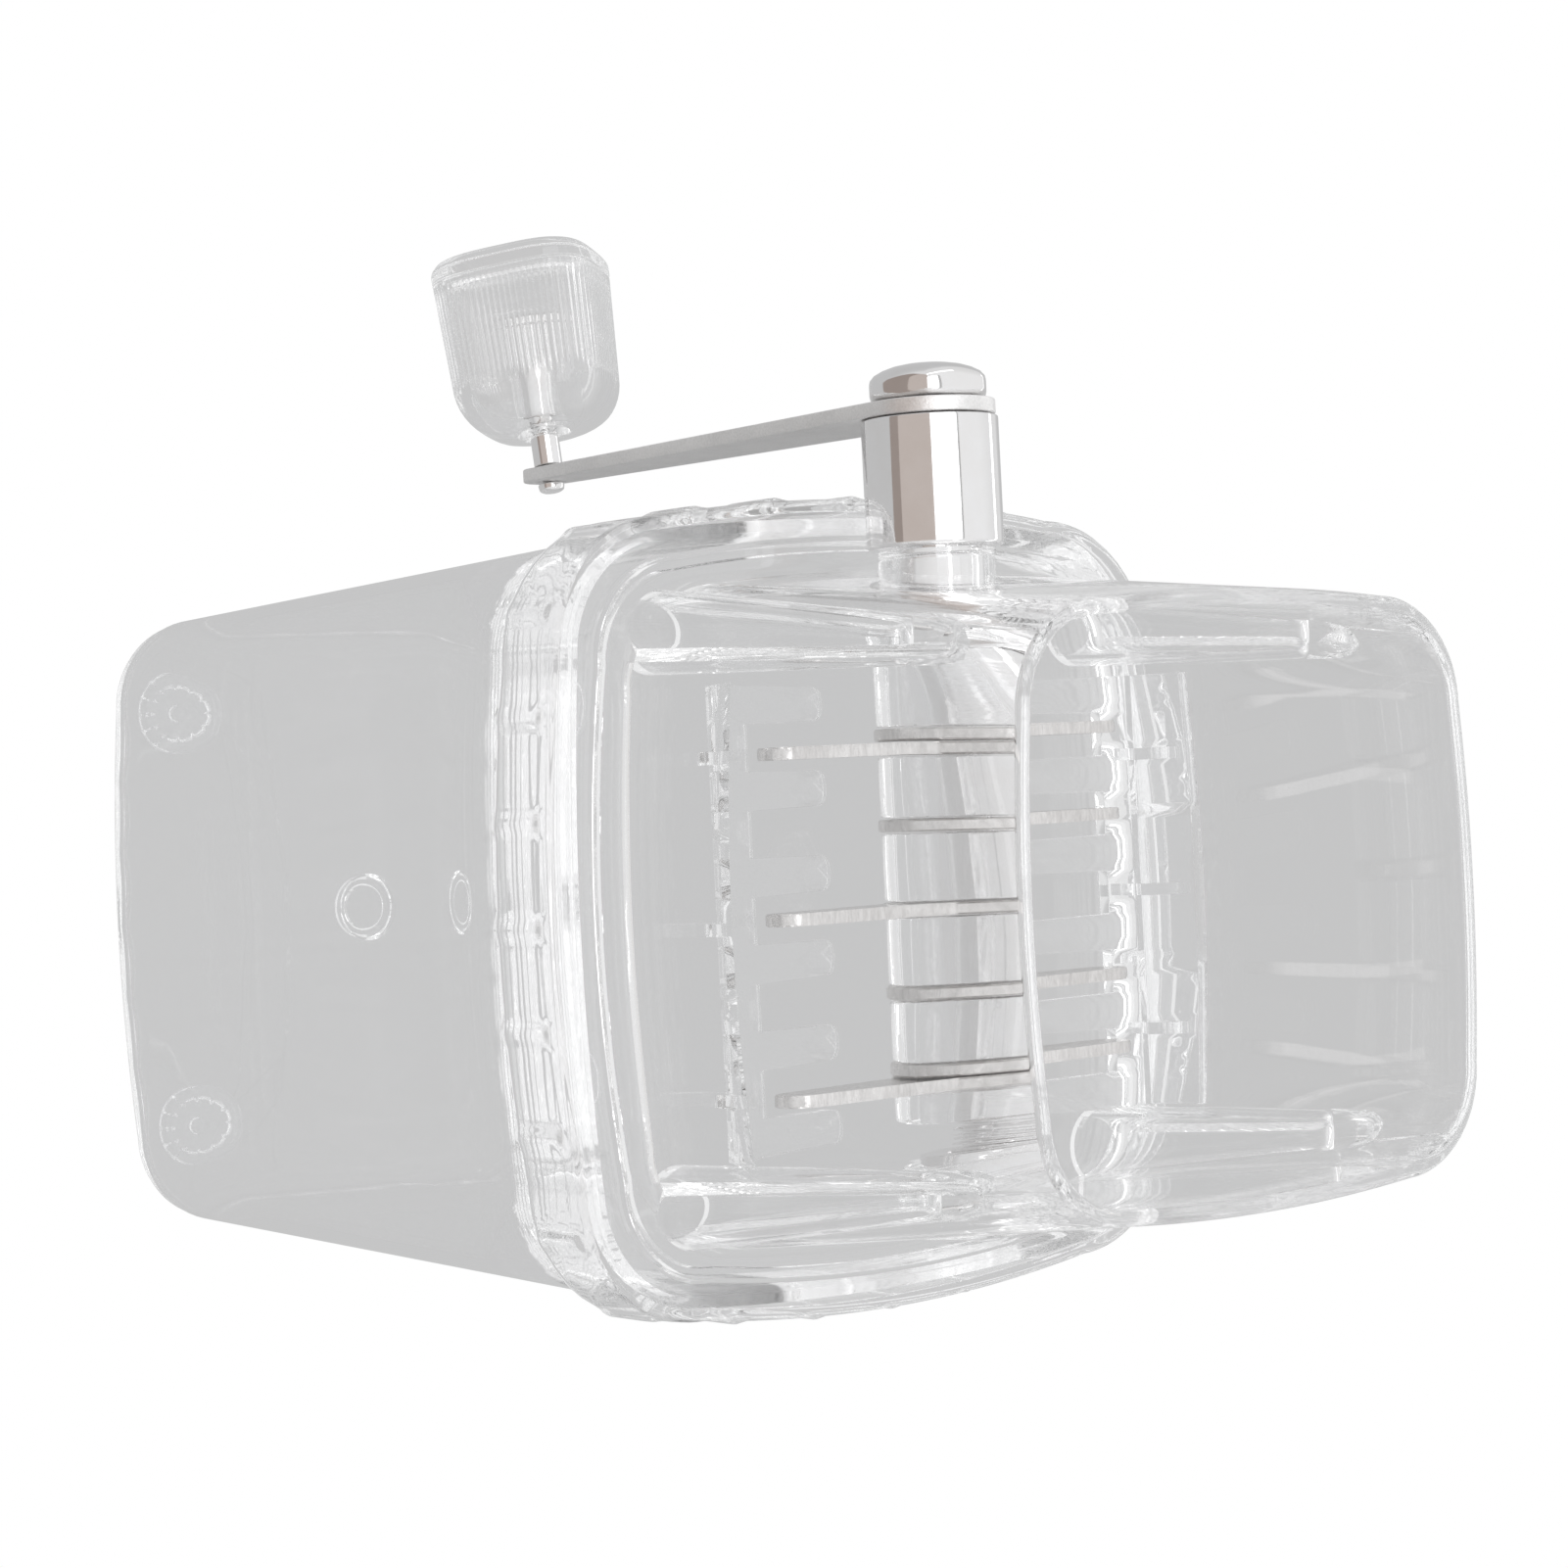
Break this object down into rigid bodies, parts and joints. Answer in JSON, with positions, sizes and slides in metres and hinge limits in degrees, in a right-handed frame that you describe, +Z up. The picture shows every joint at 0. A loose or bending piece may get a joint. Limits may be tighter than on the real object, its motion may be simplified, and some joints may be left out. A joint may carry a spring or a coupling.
{
  "type": "hand-crank crusher",
  "caption": "Clear hand-crank crusher: open hopper head with a bladed rotor between slatted combs, lifting off a square tub, with a side crank and a spinning knob.",
  "frame": {"origin": "middle of the tub's underside, on the surface it stands on", "axes": "+Z up from the tub to the hopper mouth; the crank is on the -X side and its shaft runs along X; -Y is the front"},
  "size_m": [0.1924, 0.1398, 0.2455],
  "materials": {
    "clear_plastic": "water-clear, glossy",
    "foot_plastic": "clear, soft",
    "chrome": "polished chrome plate",
    "blade_steel": "satin stainless",
    "arm_steel": "matte steel"
  },
  "bodies": {
    "container": {"container": "clear_plastic", "foot_pad_1": "foot_plastic", "foot_pad_2": "foot_plastic", "foot_pad_3": "foot_plastic", "foot_pad_4": "foot_plastic"},
    "head": {"head_housing": "clear_plastic", "comb_front": "clear_plastic", "comb_rear": "clear_plastic", "bearing_bush_left": "clear_plastic", "bearing_bush_right": "clear_plastic"},
    "crank": {"rotor_shaft": "chrome", "thrust_collar": "chrome", "blade_1": "blade_steel", "blade_2": "blade_steel", "blade_3": "blade_steel", "blade_4": "blade_steel", "blade_5": "blade_steel", "blade_6": "blade_steel", "blade_7": "blade_steel", "spacer_1": "clear_plastic", "spacer_2": "clear_plastic", "spacer_3": "clear_plastic", "spacer_4": "clear_plastic", "spacer_5": "clear_plastic", "spacer_6": "clear_plastic", "end_nut": "chrome", "crank_sleeve": "chrome", "crank_arm": "arm_steel", "crank_cap_nut": "chrome", "knob_pin": "chrome"},
    "knob": {"knob": "clear_plastic", "knob_cap": "clear_plastic"}
  },
  "joints": [
    {"name": "head_lift", "type": "slide", "parent": "container", "child": "head", "axis": [0, 0, 1], "range_m": [0, 0.04]},
    {"name": "crank_turn", "type": "hinge", "parent": "head", "child": "crank", "pos_m": [0, 0, 0.1775], "axis": [-1, 0, 0], "continuous": true},
    {"name": "knob_spin", "type": "hinge", "parent": "crank", "child": "knob", "pos_m": [-0.08045, 0, 0.0719], "axis": [-0.9877, 0, -0.1564], "continuous": true}
  ]
}
